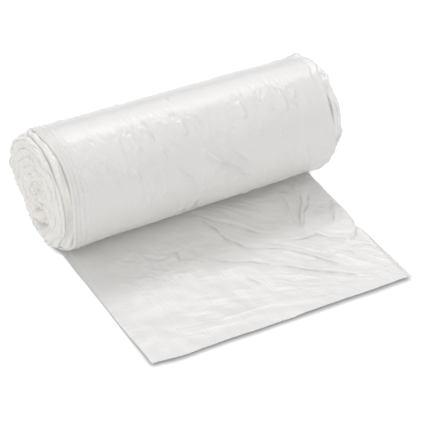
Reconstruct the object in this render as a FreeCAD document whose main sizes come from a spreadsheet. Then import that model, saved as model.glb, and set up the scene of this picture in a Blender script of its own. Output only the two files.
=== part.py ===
"""A coreless roll of bin bags, with the end of the first bag unrolled as a tongue.

Frame: +Z up, +X along the roll's axis, the tongue runs towards -Y.
Origin: on the resting face, under the roll's axis and at the middle of the web's width.
Units: millimetres.
"""
import FreeCAD, Part
import enum
import math
import os

import Sketcher

NODE = "bag_roll"

# The web is one flattened bag folded to a quarter of its width, several plies thick.
# Its last turn, the wrap, lies round the bundle of all earlier turns and runs out as the tongue.
DIMENSIONS = {
    "web_width": 152.4,
    "web_thickness": 1.0,
    "ply_inset": 3.2,
    "roll_diameter_left": 67.5,
    "roll_diameter_right": 63.6,
    "flat_spot": 10.0,
    "tongue_reach": 117.4,
    "tongue_lift": 1.6,
    "lift_run": 38.0,
    "wrap_drift_left": 0.0,
    "wrap_drift_right": 4.2,
    "mouth_depth": 9.0,
    "wrap_slack_left": 1.2,
    "wrap_slack_right": 0.6,
    "bundle_reach_left": 7.4,
    "bundle_reach_right": 6.2,
    "shoulder_left": 3.6,
    "shoulder_right": 3.6,
    "bundle_dish": 4.0,
    "turn_pitch": 4.7,
    "turn_gap": 1.0,
    "turn_groove_depth": 8.0,
    "eye_radius": 4.6,
    "eye_length": 6.4,
    "eye_width": 1.8,
    "eye_depth": 12.0,
}

# How many folds gather the film round the rim of each end.
GATHERS = {"left": 15, "right": 10}
# How far a gather strays from its even place, as a share of the way to the next.
GATHER_SWAY = 0.22
# The sway's angle from one gather to the next, in radians: no whole share of a round.
SWAY_STEP = 2.3


class SketchAxis(enum.IntEnum):
    """The numbers by which a sketch knows its own axes."""

    ACROSS = -1
    UP = -2


class EdgePoint(enum.IntEnum):
    """The numbers by which a sketch knows the points of an edge."""

    START = 1
    END = 2
    CENTRE = 3


START, END, CENTRE = EdgePoint


def cell(alias):
    """An alias of the sheet, as an expression reads it."""
    return f"sizes.{alias}"


WEB = cell("web_thickness")
HALF_WEB = f"({WEB} / 2)"
HALF_WIDTH = f"({cell('web_width')} / 2)"
# The radius that lifts the tongue's edge by its lift over its run, tangent to the floor.
LIFT_RADIUS = f"(({cell('lift_run')}^2 + {cell('tongue_lift')}^2) / (2 * {cell('tongue_lift')}))"


class RollEnd:
    """The expressions for one end of the roll: its radii, axis height and places along X."""

    def __init__(self, side):
        self.side = side
        self.is_left = side == "left"
        self.radius = f"({cell('roll_diameter_' + side)} / 2)"
        # The flat spot is a chord of the roll's circle on the floor.
        self.centre_height = f"sqrt({self.radius}^2 - ({cell('flat_spot')} / 2)^2)"
        self.slack = cell(f"wrap_slack_{side}")
        self.bundle_radius = f"({self.radius} - {WEB} - {self.slack})"
        self.reach = cell(f"bundle_reach_{side}")
        half_wrap = f"({HALF_WIDTH} + {cell('wrap_drift_' + side)})"
        self.sign = "-1" if self.is_left else "1"
        self.wrap_edge = f"({self.sign} * {half_wrap})"
        self.bundle_rim = f"({self.sign} * ({half_wrap} + {self.reach}))"
        self.shoulder = cell(f"shoulder_{side}")
        self.inward = "1" if self.is_left else "-1"


class Model:
    """The document, its sheet and the one body that the roll's solid is built in."""

    def __init__(self):
        self.document = FreeCAD.newDocument("bin_bag_roll")
        self.sheet = self.document.addObject("Spreadsheet::Sheet", "sizes")
        for row, (alias, value) in enumerate(DIMENSIONS.items(), start=1):
            self.sheet.set(f"A{row}", alias)
            self.sheet.set(f"B{row}", str(value))
            self.sheet.setAlias(f"B{row}", alias)
        self.document.recompute()
        self.body = self.document.addObject("PartDesign::Body", NODE)
        self.body.Label = NODE

    def measure(self, expression):
        """The present value of an expression of the sheet's cells."""
        return float(self.sheet.evalExpression(expression))

    def feature(self, kind, name, profile, **bound):
        """A PartDesign feature on a profile, with each keyword bound to its expression."""
        made = self.body.newObject(f"PartDesign::{kind}", name)
        made.Profile = profile.sketch
        for property_name, expression in bound.items():
            made.setExpression(property_name, expression)
        return made

    def cut(self, name, profile, depth, reverse):
        """A pocket from a profile, checked to have taken material away."""
        self.document.recompute()
        before = self.body.Shape.Volume
        pocket = self.feature("Pocket", name, profile, Length=depth)
        pocket.Reversed = reverse
        self.document.recompute()
        if self.body.Shape.Volume >= before:
            raise ValueError(f"{name} cut nothing")


class Profile:
    """A sketch on one of the body's origin planes, with its sizes bound to the sheet."""

    def __init__(self, model, name, plane, offset=None):
        self.model = model
        self.sketch = model.body.newObject("Sketcher::SketchObject", name)
        origin = [f for f in model.body.Origin.OriginFeatures if f.Role == plane][0]
        self.sketch.AttachmentSupport = [(origin, "")]
        self.sketch.MapMode = "FlatFace"
        if offset:
            self.sketch.setExpression("AttachmentOffset.Base.z", offset)

    def line(self, start, end, construction=False):
        """A straight edge between two points given across and up."""
        segment = Part.LineSegment(FreeCAD.Vector(*start, 0), FreeCAD.Vector(*end, 0))
        return self.sketch.addGeometry(segment, construction)

    def arc(self, centre, radius, first, last):
        """An arc that runs anticlockwise from the first angle to the last, in radians."""
        circle = Part.Circle(FreeCAD.Vector(*centre, 0), FreeCAD.Vector(0, 0, 1), radius)
        return self.sketch.addGeometry(Part.ArcOfCircle(circle, first, last), False)

    def point(self, geometry, which):
        """Where an end point of an edge lies now."""
        found = self.sketch.getPoint(geometry, which)
        return found.x, found.y

    def rule(self, *arguments):
        """A constraint without a size."""
        return self.sketch.addConstraint(Sketcher.Constraint(*arguments))

    def join(self, first, first_point, second, second_point):
        """Makes two end points one."""
        self.rule("Coincident", first, first_point, second, second_point)

    def on_axis(self, geometry, point, axis=SketchAxis.UP):
        """Holds a point on one of the sketch's axes."""
        self.rule("PointOnObject", geometry, point, axis)

    def size(self, kind, *where, expression):
        """A dimension bound to an expression of the sheet's cells."""
        index = self.rule(kind, *where, self.model.measure(expression))
        self.sketch.setExpression(f"Constraints[{index}]", expression)

    def place(self, geometry, point, across, up):
        """Holds a point at its distances across and up from the sketch's origin."""
        self.size("DistanceX", SketchAxis.ACROSS, START, geometry, point, expression=across)
        self.size("DistanceY", SketchAxis.ACROSS, START, geometry, point, expression=up)


def tongue_ply(model, name, lower, upper, left_edge, width):
    """One ply of the tongue: flat on the floor, with its free edge lifted on a long arc."""
    profile = Profile(model, f"{name}_section", "YZ_Plane", left_edge)
    reach = model.measure(cell("tongue_reach"))
    run = model.measure(cell("lift_run"))
    radius = model.measure(LIFT_RADIUS)
    heights = [model.measure(lower), model.measure(upper)]
    bend = run - reach
    arcs, lines = [], []
    for offset, height in zip((lower, upper), heights):
        own_radius = radius - height
        lift = math.asin(run / own_radius)
        arc = profile.arc((bend, radius), own_radius, 1.5 * math.pi - lift, 1.5 * math.pi)
        line = profile.line((0, height), (bend, height))
        profile.size("Radius", arc, expression=f"{LIFT_RADIUS} - {offset}")
        profile.rule("Tangent", line, END, arc, END)
        profile.rule("Horizontal", line)
        profile.on_axis(line, START)
        arcs.append(arc)
        lines.append(line)
    profile.place(arcs[0], CENTRE, f"{cell('lift_run')} - {cell('tongue_reach')}", LIFT_RADIUS)
    profile.join(arcs[0], CENTRE, arcs[1], CENTRE)
    edge_heights = [radius - math.sqrt((radius - h) ** 2 - run**2) for h in heights]
    edge = profile.line((-reach, edge_heights[0]), (-reach, edge_heights[1]))
    profile.join(edge, START, arcs[0], START)
    profile.join(edge, END, arcs[1], START)
    profile.rule("Vertical", edge)
    profile.size("DistanceX", edge, START, SketchAxis.ACROSS, START, expression=cell("tongue_reach"))
    back = profile.line((0, heights[0]), (0, heights[1]))
    profile.join(back, START, lines[0], START)
    profile.join(back, END, lines[1], START)
    model.feature("Pad", name, profile, Length=width)


def wrap(model, left, right):
    """The last turn, as the round that the tongue leaves: tapered, and square to its own axis."""
    profile = Profile(model, "wrap_section", "XZ_Plane")
    places = [(end.wrap_edge, end.centre_height) for end in (left, right)]
    axis_ends = [tuple(model.measure(part) for part in place) for place in places]
    radii = [model.measure(end.radius) for end in (left, right)]
    axis = profile.line(*axis_ends, construction=True)
    base = profile.line(*axis_ends)
    tops = [(across, up + radius) for (across, up), radius in zip(axis_ends, radii)]
    top = profile.line(*tops)
    for point, place, end, low, high in zip((START, END), places, (left, right), axis_ends, tops):
        profile.place(axis, point, *place)
        profile.join(base, point, axis, point)
        side = profile.line(low, high)
        profile.join(side, START, base, point)
        profile.join(side, END, top, point)
        profile.rule("Perpendicular", side, axis)
        profile.size("Distance", side, expression=end.radius)
    turned = model.feature("Revolution", "wrap", profile)
    turned.ReferenceAxis = (profile.sketch, ["Axis0"])
    turned.Angle = 360.0
    flatten(model, left)


def flatten(model, end):
    """Cuts off what would lie below the floor, so that the soft roll has its flat spot."""
    profile = Profile(model, "flat_spot_section", "XY_Plane")
    reach = cell("web_width")
    corners = [
        (f"(-1 * {reach})", f"(-1 * {end.radius})"),
        (reach, f"(-1 * {end.radius})"),
        (reach, end.radius),
        (f"(-1 * {reach})", end.radius),
    ]
    points = [tuple(model.measure(part) for part in corner) for corner in corners]
    sides = [profile.line(points[index - 1], points[index]) for index in range(len(points))]
    for index, corner in enumerate(corners):
        profile.join(sides[index], END, sides[(index + 1) % len(sides)], START)
        profile.place(sides[index], END, *corner)
    model.cut("flat_spot", profile, end.radius, False)


def wrap_inside(model, end, name, offset):
    """The space inside the last turn, a ply or a whole web in from its outline."""
    profile = Profile(model, name, "YZ_Plane", end.bundle_rim)
    step = model.measure(offset)
    radius = model.measure(end.radius) - step
    centre = model.measure(end.centre_height)
    half_chord = math.sqrt(radius**2 - (centre - step) ** 2)
    low = math.atan2(step - centre, half_chord)
    outline = profile.arc((0, centre), radius, low, math.pi - low)
    base = profile.line((-half_chord, step), (half_chord, step))
    profile.on_axis(outline, CENTRE)
    profile.size("DistanceY", SketchAxis.ACROSS, START, outline, CENTRE, expression=end.centre_height)
    profile.size("Radius", outline, expression=f"{end.radius} - {offset}")
    profile.size("DistanceY", SketchAxis.ACROSS, START, outline, START, expression=offset)
    profile.join(outline, END, base, START)
    profile.join(base, END, outline, START)
    profile.rule("Horizontal", base)
    return profile


def bundle_corners(end):
    """One end of the bundle's half outline, from its dished middle out over the gathered shoulder."""
    side_height = f"({end.centre_height} + {end.bundle_radius})"
    # Two bands stand for the round of the gathered film, and meet at half a right angle.
    band = f"({end.shoulder} * (1 - sqrt(0.5)))"
    return [
        (f"({end.bundle_rim} + {end.inward} * {cell('bundle_dish')})", end.centre_height),
        (end.bundle_rim, f"({side_height} - {end.shoulder})"),
        (f"({end.bundle_rim} + {end.inward} * {band})", f"({side_height} - {band})"),
        (f"({end.bundle_rim} + {end.inward} * {end.shoulder})", side_height),
    ]


def bundle(model, left, right):
    """The earlier turns as one revolved form: dished ends, gathered shoulders, a tapered side."""
    profile = Profile(model, "bundle_section", "XZ_Plane")
    corners = bundle_corners(left) + bundle_corners(right)[::-1]
    points = [tuple(model.measure(part) for part in corner) for corner in corners]
    axis = profile.line(points[0], points[-1], construction=True)
    edges = [profile.line(points[index - 1], points[index]) for index in range(len(points))]
    for index, corner in enumerate(corners):
        profile.join(edges[index], END, edges[(index + 1) % len(edges)], START)
        profile.place(edges[index], END, *corner)
    profile.join(axis, START, edges[0], END)
    profile.join(axis, END, edges[0], START)
    revolved = model.feature("Revolution", "bundle", profile)
    revolved.ReferenceAxis = (profile.sketch, ["Axis0"])
    revolved.Angle = 360.0
    model.document.recompute()


def gathers(model, end):
    """The flats between the folds that gather the film round the rim of one end."""
    profile = Profile(model, f"gathers_section_{end.side}", "YZ_Plane", end.bundle_rim)
    # The folds stand a little proud of the bundle, and the cut stays clear of the wrap.
    fold_radius = f"({end.bundle_radius} + {end.slack} / 4)"
    clear_radius = f"({end.bundle_radius} + {end.slack} / 2)"
    centre = model.measure(end.centre_height)
    outline = Part.Circle(FreeCAD.Vector(0, centre, 0), FreeCAD.Vector(0, 0, 1), model.measure(clear_radius))
    rim = profile.sketch.addGeometry(outline, False)
    profile.on_axis(rim, CENTRE)
    profile.size("DistanceY", SketchAxis.ACROSS, START, rim, CENTRE, expression=end.centre_height)
    profile.size("Radius", rim, expression=clear_radius)
    count = GATHERS[end.side]
    places = []
    for index in range(count):
        angle = math.tau / count * (index + GATHER_SWAY * math.sin(SWAY_STEP * index))
        across = f"{fold_radius} * {math.cos(angle):.4f}"
        up = f"{end.centre_height} + {fold_radius} * {math.sin(angle):.4f}"
        places.append((across, up))
    points = [tuple(model.measure(part) for part in place) for place in places]
    flats = [profile.line(points[index - 1], points[index]) for index in range(count)]
    for index, place in enumerate(places):
        profile.join(flats[index], END, flats[(index + 1) % count], START)
        profile.place(flats[index], END, *place)
    model.cut(f"gathers_{end.side}", profile, f"{end.reach} + {cell('mouth_depth')} / 2", end.is_left)


def spiral_radius(index, wall):
    """The radius of a half turn of the spiral: it grows by half a pitch each half turn."""
    return f"({cell('eye_radius')} + {index} * {cell('turn_pitch')} / 2 + {wall})"


def turns(model, end):
    """The spiral gap between the turns at one end: half turns about two centres, bottom to top."""
    profile = Profile(model, f"turns_section_{end.side}", "YZ_Plane", end.bundle_rim)
    half_pitch = model.measure(f"{cell('turn_pitch')} / 2")
    # The outermost turn stays whole, inside the round shoulder.
    room = model.measure(f"{end.bundle_radius} - {end.shoulder} / 2 - {cell('turn_gap')}")
    count = int((room - model.measure(cell("eye_radius"))) / half_pitch)
    middle = model.measure(end.centre_height)
    walls = []
    for wall in ("0", cell("turn_gap")):
        arcs = []
        for index in range(count):
            radius = spiral_radius(index, wall)
            rising = index % 2 == 0
            centre = middle if rising else middle - half_pitch
            first = math.pi / 2 if rising else -math.pi / 2
            arc = profile.arc((0, centre), model.measure(radius), first, first + math.pi)
            outer_point = START
            inner_point = END
            profile.size("Radius", arc, expression=radius)
            if arcs:
                profile.on_axis(arc, CENTRE)
                profile.join(arcs[-1], outer_point, arc, inner_point)
            elif walls:
                profile.join(walls[0][0], CENTRE, arc, CENTRE)
                profile.on_axis(arc, inner_point)
            else:
                profile.place(arc, CENTRE, "0", end.centre_height)
                profile.on_axis(arc, inner_point)
            profile.on_axis(arc, outer_point)
            arcs.append(arc)
        walls.append(arcs)
    for index, point in ((0, END), (-1, START)):
        inner_wall = walls[0][index]
        outer_wall = walls[1][index]
        ends = [profile.point(arc, point) for arc in (inner_wall, outer_wall)]
        closing = profile.line(*ends)
        profile.join(closing, START, inner_wall, point)
        profile.join(closing, END, outer_wall, point)
    model.cut(f"turns_{end.side}", profile, cell("turn_groove_depth"), end.is_left)


def eye(model, end):
    """The flattened hollow that the first turn leaves in the middle of the roll."""
    profile = Profile(model, f"eye_section_{end.side}", "YZ_Plane", end.bundle_rim)
    half_width = f"({cell('eye_width')} / 2)"
    half_straight = f"({cell('eye_length')} / 2 - {half_width})"
    middle = model.measure(end.centre_height)
    radius = model.measure(half_width)
    reach = model.measure(half_straight)
    front = profile.arc((-reach, middle), radius, math.pi / 2, 1.5 * math.pi)
    back = profile.arc((reach, middle), radius, -math.pi / 2, math.pi / 2)
    upper = profile.line((reach, middle + radius), (-reach, middle + radius))
    lower = profile.line((-reach, middle - radius), (reach, middle - radius))
    profile.place(front, CENTRE, f"-1 * {half_straight}", end.centre_height)
    profile.place(back, CENTRE, half_straight, end.centre_height)
    profile.size("Radius", front, expression=half_width)
    profile.rule("Tangent", back, END, upper, START)
    profile.rule("Tangent", upper, END, front, START)
    profile.rule("Tangent", front, END, lower, START)
    profile.rule("Tangent", lower, END, back, START)
    model.cut(f"eye_{end.side}", profile, cell("eye_depth"), end.is_left)


def build():
    """Builds the roll from its wrap inwards and returns the model."""
    model = Model()
    left = RollEnd("left")
    right = RollEnd("right")
    wrap(model, left, right)
    for end in (left, right):
        mouth = wrap_inside(model, end, f"mouth_section_{end.side}", WEB)
        depth = f"{end.reach} + {cell('mouth_depth')}"
        model.cut(f"mouth_{end.side}", mouth, depth, end.is_left)
    inner_ply = wrap_inside(model, left, "inner_ply_section", HALF_WEB)
    depth = f"{left.reach} + {cell('ply_inset')}"
    model.cut("inner_ply_step", inner_ply, depth, left.is_left)
    web_edge = f"(-1 * {HALF_WIDTH})"
    tongue_ply(model, "outer_ply", "0", HALF_WEB, web_edge, cell("web_width"))
    inner_edge = f"({web_edge} + {cell('ply_inset')})"
    inner_width = f"({cell('web_width')} - {cell('ply_inset')})"
    tongue_ply(model, "inner_ply", HALF_WEB, WEB, inner_edge, inner_width)
    bundle(model, left, right)
    for end in (left, right):
        gathers(model, end)
        turns(model, end)
        eye(model, end)
    model.document.recompute()
    return model


def check(model):
    """Stops before anything is written if an object failed or the solid isn't one whole."""
    for item in model.document.Objects:
        for state in ("Invalid", "Error"):
            if state in item.State:
                raise ValueError(f"{item.Name} is {state}")
    shape = model.body.Shape
    if shape.isNull() or not shape.isValid():
        raise ValueError(f"{NODE} has no valid shape")
    if len(shape.Solids) != 1:
        raise ValueError(f"{NODE} has {len(shape.Solids)} solids")


model = build()
check(model)
os.makedirs("parts", exist_ok=True)
model.body.Shape.exportStep(f"parts/{NODE}.step")
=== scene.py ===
"""The looks of a coreless roll of white film bags, with the end of the first bag unrolled.

The last turn, the tongue and the turns at the roll's two ends are surfaces worked out on grids.
Their shapes are worked out in millimetres and their meshes are in metres, in the frame's axes:
+X along the roll, +Z up, the tongue towards -Y.
An angle round the roll starts at the floor and runs by the back and the top to the front.
"""
import logging
import math
from collections.abc import Iterable
from dataclasses import dataclass, field, replace
from enum import Enum

import bpy
import numpy as np
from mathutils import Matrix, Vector


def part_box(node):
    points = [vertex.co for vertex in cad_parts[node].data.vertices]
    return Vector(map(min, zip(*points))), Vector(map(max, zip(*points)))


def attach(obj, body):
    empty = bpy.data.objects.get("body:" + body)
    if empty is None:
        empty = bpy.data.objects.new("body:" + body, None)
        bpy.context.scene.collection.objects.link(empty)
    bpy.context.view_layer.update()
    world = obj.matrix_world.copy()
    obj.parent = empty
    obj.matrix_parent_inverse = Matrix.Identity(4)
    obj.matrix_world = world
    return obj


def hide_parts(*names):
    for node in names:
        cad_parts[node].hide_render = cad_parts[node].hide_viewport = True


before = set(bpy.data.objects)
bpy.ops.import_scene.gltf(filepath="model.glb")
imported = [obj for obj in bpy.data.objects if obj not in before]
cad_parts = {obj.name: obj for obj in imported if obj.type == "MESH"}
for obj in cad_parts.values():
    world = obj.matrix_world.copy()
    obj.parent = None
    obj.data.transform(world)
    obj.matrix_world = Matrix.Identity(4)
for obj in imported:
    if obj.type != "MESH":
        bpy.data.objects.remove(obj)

Array = np.ndarray
Pair = tuple[float, float]
Triple = tuple[float, float, float]

NODE = "bag_roll"
BODY = "root"
# The attribute that carries the painted shade of tight folds and grooves.
PAINTED_SHADE_ATTRIBUTE = "fold"
MM = 0.001
# How many millimetres of film are one unit of its UV map.
FILM_UNIT = 100.0
TAU = 2.0 * math.pi

log = logging.getLogger("bag_roll")


class RollEnd(Enum):
    """The two ends of the roll, by their direction along X."""

    LEFT = -1
    RIGHT = 1


# Sizes

@dataclass(frozen=True)
class RollSizes:
    """The roll's driving sizes, in millimetres: the frame's box gives the large ones."""

    radius_left: float
    tongue_reach: float
    left_tip: float
    right_tip: float
    taper: float = 0.942
    web_width: float = 152.4
    web: float = 1.0
    flat_half: float = 5.0
    mouth_depth: float = 9.0
    right_drift: float = 4.2

    @classmethod
    def from_frame(cls) -> "RollSizes":
        """Reads the large sizes off the box of the roll's node.

        Returns:
            The sizes of the roll.
        """
        low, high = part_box(NODE)
        return cls(
            radius_left=high.y / MM,
            tongue_reach=-low.y / MM,
            left_tip=-low.x / MM,
            right_tip=high.x / MM,
        )

    @property
    def half_width(self) -> float:
        """Half of the web's width, where the last turn's left rim is."""
        return self.web_width / 2.0

    @property
    def wrap_right(self) -> float:
        """The place of the last turn's right rim, which has drifted past the web's edge."""
        return self.half_width + self.right_drift

    def radius(self, across: Array) -> Array:
        """The roll's radius at places across the web: a straight taper from left to right.

        Args:
            across: Places along X.

        Returns:
            The radius at each place.
        """
        share = np.clip((across + self.half_width) / (self.wrap_right + self.half_width), -0.1, 1.1)
        return self.radius_left * (1.0 + (self.taper - 1.0) * share)

    def axis_height(self, across: Array) -> Array:
        """The height of the roll's axis: the flat spot is a chord of the circle, on the floor.

        Args:
            across: Places along X.

        Returns:
            The axis's height at each place.
        """
        return np.sqrt(self.radius(across) ** 2 - self.flat_half**2)


# Shapes worked out on arrays

def smooth_step(low: float, high: float, value: Array) -> Array:
    """Rises from 0 at low to 1 at high as 3t^2 - 2t^3.

    Args:
        low: Where the rise starts.
        high: Where it ends.
        value: The places to read it at.

    Returns:
        The step's height at each place.
    """
    share = np.clip((value - low) / (high - low), 0.0, 1.0)
    return share * share * (3.0 - 2.0 * share)


def bump(centre: float, half_width: float, value: Array) -> Array:
    """A soft hump: the square of 1 - t^2, where t is the distance from the centre in half widths."""
    distance = np.clip(np.abs(value - centre) / half_width, 0.0, 1.0)
    return (1.0 - distance * distance) ** 2


def arc_window(angle: Array, middle: float, spread: float) -> Array:
    """Is 1 on an arc of the round and 0 off it, with soft ends.

    Args:
        angle: Angles round the roll, in radians.
        middle: The arc's middle, in degrees.
        spread: Half of the arc, in degrees.

    Returns:
        The window's height at each angle.
    """
    turned = np.degrees(np.abs((angle - math.radians(middle) + math.pi) % TAU - math.pi))
    return 1.0 - smooth_step(0.75 * spread, 1.25 * spread, turned)


def ridges(table: tuple[Triple, ...], distance: Array) -> Array:
    """Adds up soft ridges along an edge.

    Args:
        table: Each ridge's height, distance from the edge and half width.
        distance: Distances from the edge.

    Returns:
        The ridges' height at each distance.
    """
    return sum(height * bump(centre, half_width, distance) for height, centre, half_width in table)


class Crumple:
    """Smooth seeded noise on a lattice, from which the film's small relief is made."""

    CELLS = 256

    def __init__(self, seed: int) -> None:
        """Draws one direction for each lattice point.

        Args:
            seed: The seed of the draw.
        """
        angles = np.random.default_rng(seed).uniform(0.0, TAU, (self.CELLS, self.CELLS))
        self.slope_u = np.cos(angles)
        self.slope_v = np.sin(angles)

    def smooth(self, u: Array, v: Array, period: int | None = None) -> Array:
        """Gradient noise: each corner's slope times the way to it, blended by 6t^5 - 15t^4 + 10t^3.

        Args:
            u: First coordinate, in cells.
            v: Second coordinate, in cells.
            period: The whole number of cells after which the noise repeats along u, if it does.

        Returns:
            Values from about -1 to 1.
        """
        cell_u, cell_v = np.floor(u).astype(int), np.floor(v).astype(int)
        way_u, way_v = u - cell_u, v - cell_v
        blend_u = way_u**3 * (way_u * (way_u * 6.0 - 15.0) + 10.0)
        blend_v = way_v**3 * (way_v * (way_v * 6.0 - 15.0) + 10.0)
        wrap_u = period or self.CELLS
        total = np.zeros(np.broadcast(u, v).shape)
        for step_u, weight_u in ((0, 1.0 - blend_u), (1, blend_u)):
            for step_v, weight_v in ((0, 1.0 - blend_v), (1, blend_v)):
                row = (cell_u + step_u) % wrap_u % self.CELLS
                column = (cell_v + step_v) % self.CELLS
                slope = (
                    self.slope_u[row, column] * (way_u - step_u)
                    + self.slope_v[row, column] * (way_v - step_v)
                )
                total = total + weight_u * weight_v * slope
        return total * 1.5

    def crests(self, u: Array, v: Array, sharpness: float, period: int | None = None) -> Array:
        """Sharp crests where the noise changes sign: (1 - its size) to a power, less its mean."""
        return np.clip(1.0 - np.abs(self.smooth(u, v, period)), 0.0, 1.0) ** sharpness - 0.5


@dataclass(frozen=True)
class Crease:
    """A fold line pressed into the film, through a few points of its surface.

    It has a crest, with its height and half width, and a step up on its left side. The roundness is
    the power of the crest's fall: 1 for a sharp crest and 2 for a round one.
    """

    points: tuple[Pair, ...]
    height: float = 0.5
    half_width: float = 1.2
    step: float = 0.0
    roundness: float = 1.0

    def relief(self, u: Array, v: Array) -> Array:
        """A crest that falls off as exp(-distance^roundness), and a step up on its left side.

        Args:
            u: First coordinate on the film, in millimetres.
            v: Second coordinate on the film, in millimetres.

        Returns:
            The relief, in millimetres.
        """
        nearest = np.full(u.shape, np.inf)
        side = np.zeros(u.shape)
        along = np.zeros(u.shape)
        starts = np.array(self.points[:-1])
        ways = np.array(self.points[1:]) - starts
        lengths = np.hypot(ways[:, 0], ways[:, 1])
        run = 0.0
        for start, way, length in zip(starts, ways, lengths):
            share = ((u - start[0]) * way[0] + (v - start[1]) * way[1]) / length**2
            inside = np.clip(share, 0.0, 1.0)
            off_u = u - start[0] - inside * way[0]
            off_v = v - start[1] - inside * way[1]
            distance = np.hypot(off_u, off_v)
            closer = distance < nearest
            nearest = np.where(closer, distance, nearest)
            turn = np.sign(way[0] * off_v - way[1] * off_u)
            side = np.where(closer, turn, side)
            along = np.where(closer, (run + inside * length) / lengths.sum(), along)
            run += length
        fade = (1.0 - (2.0 * along - 1.0) ** 4) ** 0.7
        crest = self.height * np.exp(-((nearest / self.half_width) ** self.roundness))
        shelf = self.step * side * np.exp(-((nearest / (4.0 * self.half_width)) ** 2))
        return fade * (crest + shelf * (1.0 - np.exp(-nearest / (0.5 * self.half_width))))


def scattered_creases(
    seed: int, count: int, u_range: Pair, v_range: Pair,
    length: Pair, lean: float, height: float, half_width: float, tilt: float = 0.0,
) -> list[Crease]:
    """Short creases strewn over the film, all leaning about the same way.

    Args:
        seed: The seed of the draw.
        count: How many creases.
        u_range: Where they lie along u, in millimetres.
        v_range: Where they lie along v, in millimetres.
        length: Their least and greatest length.
        lean: The greatest angle between a crease and the way that they lean.
        height: Their greatest height.
        half_width: Their half width.
        tilt: The angle between the v direction and the way that they lean.

    Returns:
        The creases.
    """
    draw = np.random.default_rng(seed)
    creases = []
    for _ in range(count):
        middle = np.array([draw.uniform(*u_range), draw.uniform(*v_range)])
        angle = tilt + draw.uniform(-lean, lean)
        half = 0.5 * draw.uniform(*length) * np.array([math.sin(angle), math.cos(angle)])
        bend = draw.uniform(-0.12, 0.12) * np.array([half[1], -half[0]])
        points = (tuple(middle - half), tuple(middle + bend), tuple(middle + half))
        size = height * draw.uniform(0.3, 1.0) * draw.choice([-0.6, 1.0])
        creases.append(Crease(points, height=size, half_width=half_width * draw.uniform(0.7, 1.3)))
    return creases


def local_relief(creases: Iterable[Crease], u: Array, v: Array) -> Array:
    """Adds up creases, each worked out only on the part of the grid that it reaches.

    Args:
        creases: The creases.
        u: First coordinate of the grid's points, in millimetres.
        v: Second coordinate of the grid's points, in millimetres.

    Returns:
        The relief at the grid's points, in millimetres.
    """
    total = np.zeros(u.shape)
    for crease in creases:
        points = np.array(crease.points)
        margin = 6.0 * crease.half_width
        low, high = points.min(axis=0) - margin, points.max(axis=0) + margin
        near = (u > low[0]) & (u < high[0]) & (v > low[1]) & (v < high[1])
        if near.any():
            total[near] += crease.relief(u[near], v[near])
    return total


# Meshes

def grid_faces(rows: int, columns: int, closed: bool) -> Array:
    """The quads of a grid whose points are numbered row by row.

    Args:
        rows: How many rows of points.
        columns: How many points in a row.
        closed: Whether a row's last point joins its first.

    Returns:
        The quads' point numbers, one quad a line.
    """
    numbers = np.arange(rows * columns).reshape(rows, columns)
    following = np.roll(numbers, -1, axis=1)
    if not closed:
        numbers, following = numbers[:, :-1], following[:, :-1]
    quads = (numbers[:-1], following[:-1], following[1:], numbers[1:])
    return np.stack([part.ravel() for part in quads], axis=1)


def closed_round(points: Array, rows: int, columns: int, turned: bool) -> tuple[Array, list]:
    """Joins a grid round, and closes its first and last rows on points at their means.

    Args:
        points: The grid's points, row by row.
        rows: How many rows of points.
        columns: How many points in a row.
        turned: Whether the faces are turned over.

    Returns:
        The points with the two poles after them, and the faces.
    """
    first = np.arange(columns)
    last = first + (rows - 1) * columns
    pole = np.full(columns, len(points))
    parts = [
        grid_faces(rows, columns, closed=True),
        np.stack([pole, np.roll(first, -1), first], axis=1),
        np.stack([pole + 1, last, np.roll(last, -1)], axis=1),
    ]
    faces = []
    for part in parts:
        faces += (part[:, ::-1] if turned else part).tolist()
    poles = [points[first].mean(axis=0), points[last].mean(axis=0)]
    return np.vstack([points, poles]), faces


def place_object(name: str, data: bpy.types.ID) -> bpy.types.Object:
    """Makes an object and links it into the scene.

    Args:
        name: Its name.
        data: Its mesh, lamp or camera.

    Returns:
        The object, at the origin.
    """
    made = bpy.data.objects.new(name, data)
    bpy.context.scene.collection.objects.link(made)
    return made


def film_object(
    name: str, points: Array, faces: list, film: "FilmFinish",
    places: tuple[Array, Array], shade: Array,
) -> bpy.types.Object:
    """Makes a film piece from its points and faces, with its places on the film as a UV map.

    The points after the last place or shade, which close the surface, get 0 for it.

    Args:
        name: The piece's name.
        points: The points, one a line, in millimetres.
        faces: The faces' point numbers.
        film: The finish of the piece.
        places: The points' two coordinates on the film, in millimetres.
        shade: The painted shade of each point, in tight folds and grooves, from 0 to 1.

    Returns:
        The piece, which rides on the roll's body and stands for its node.
    """
    mesh = bpy.data.meshes.new(name)
    mesh.from_pydata((points * MM).tolist(), [], faces)
    uv = np.zeros((len(points), 2), dtype=np.float32)
    uv[:places[0].size] = np.stack([place.ravel() for place in places], axis=1) / FILM_UNIT
    shades = np.zeros(len(points), dtype=np.float32)
    shades[:shade.size] = shade.ravel()
    corners = np.empty(len(mesh.loops), dtype=np.int32)
    mesh.loops.foreach_get("vertex_index", corners)
    layer = mesh.uv_layers.new(name="film")
    layer.data.foreach_set("uv", uv[corners].ravel())
    # The painted shade of folds and grooves, which darkens the film's colour.
    fold = mesh.attributes.new(name=PAINTED_SHADE_ATTRIBUTE, type="FLOAT", domain="POINT")
    fold.data.foreach_set("value", shades)
    mesh.polygons.foreach_set("use_smooth", np.ones(len(mesh.polygons), dtype=bool))
    mesh.update()
    mesh.validate()
    piece = place_object(name, mesh)
    piece.data.materials.append(film.material())
    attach(piece, BODY)
    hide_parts(NODE)
    log.info("%s: %d points, %d faces", name, len(points), len(faces))
    return piece


# Finishes

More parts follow.
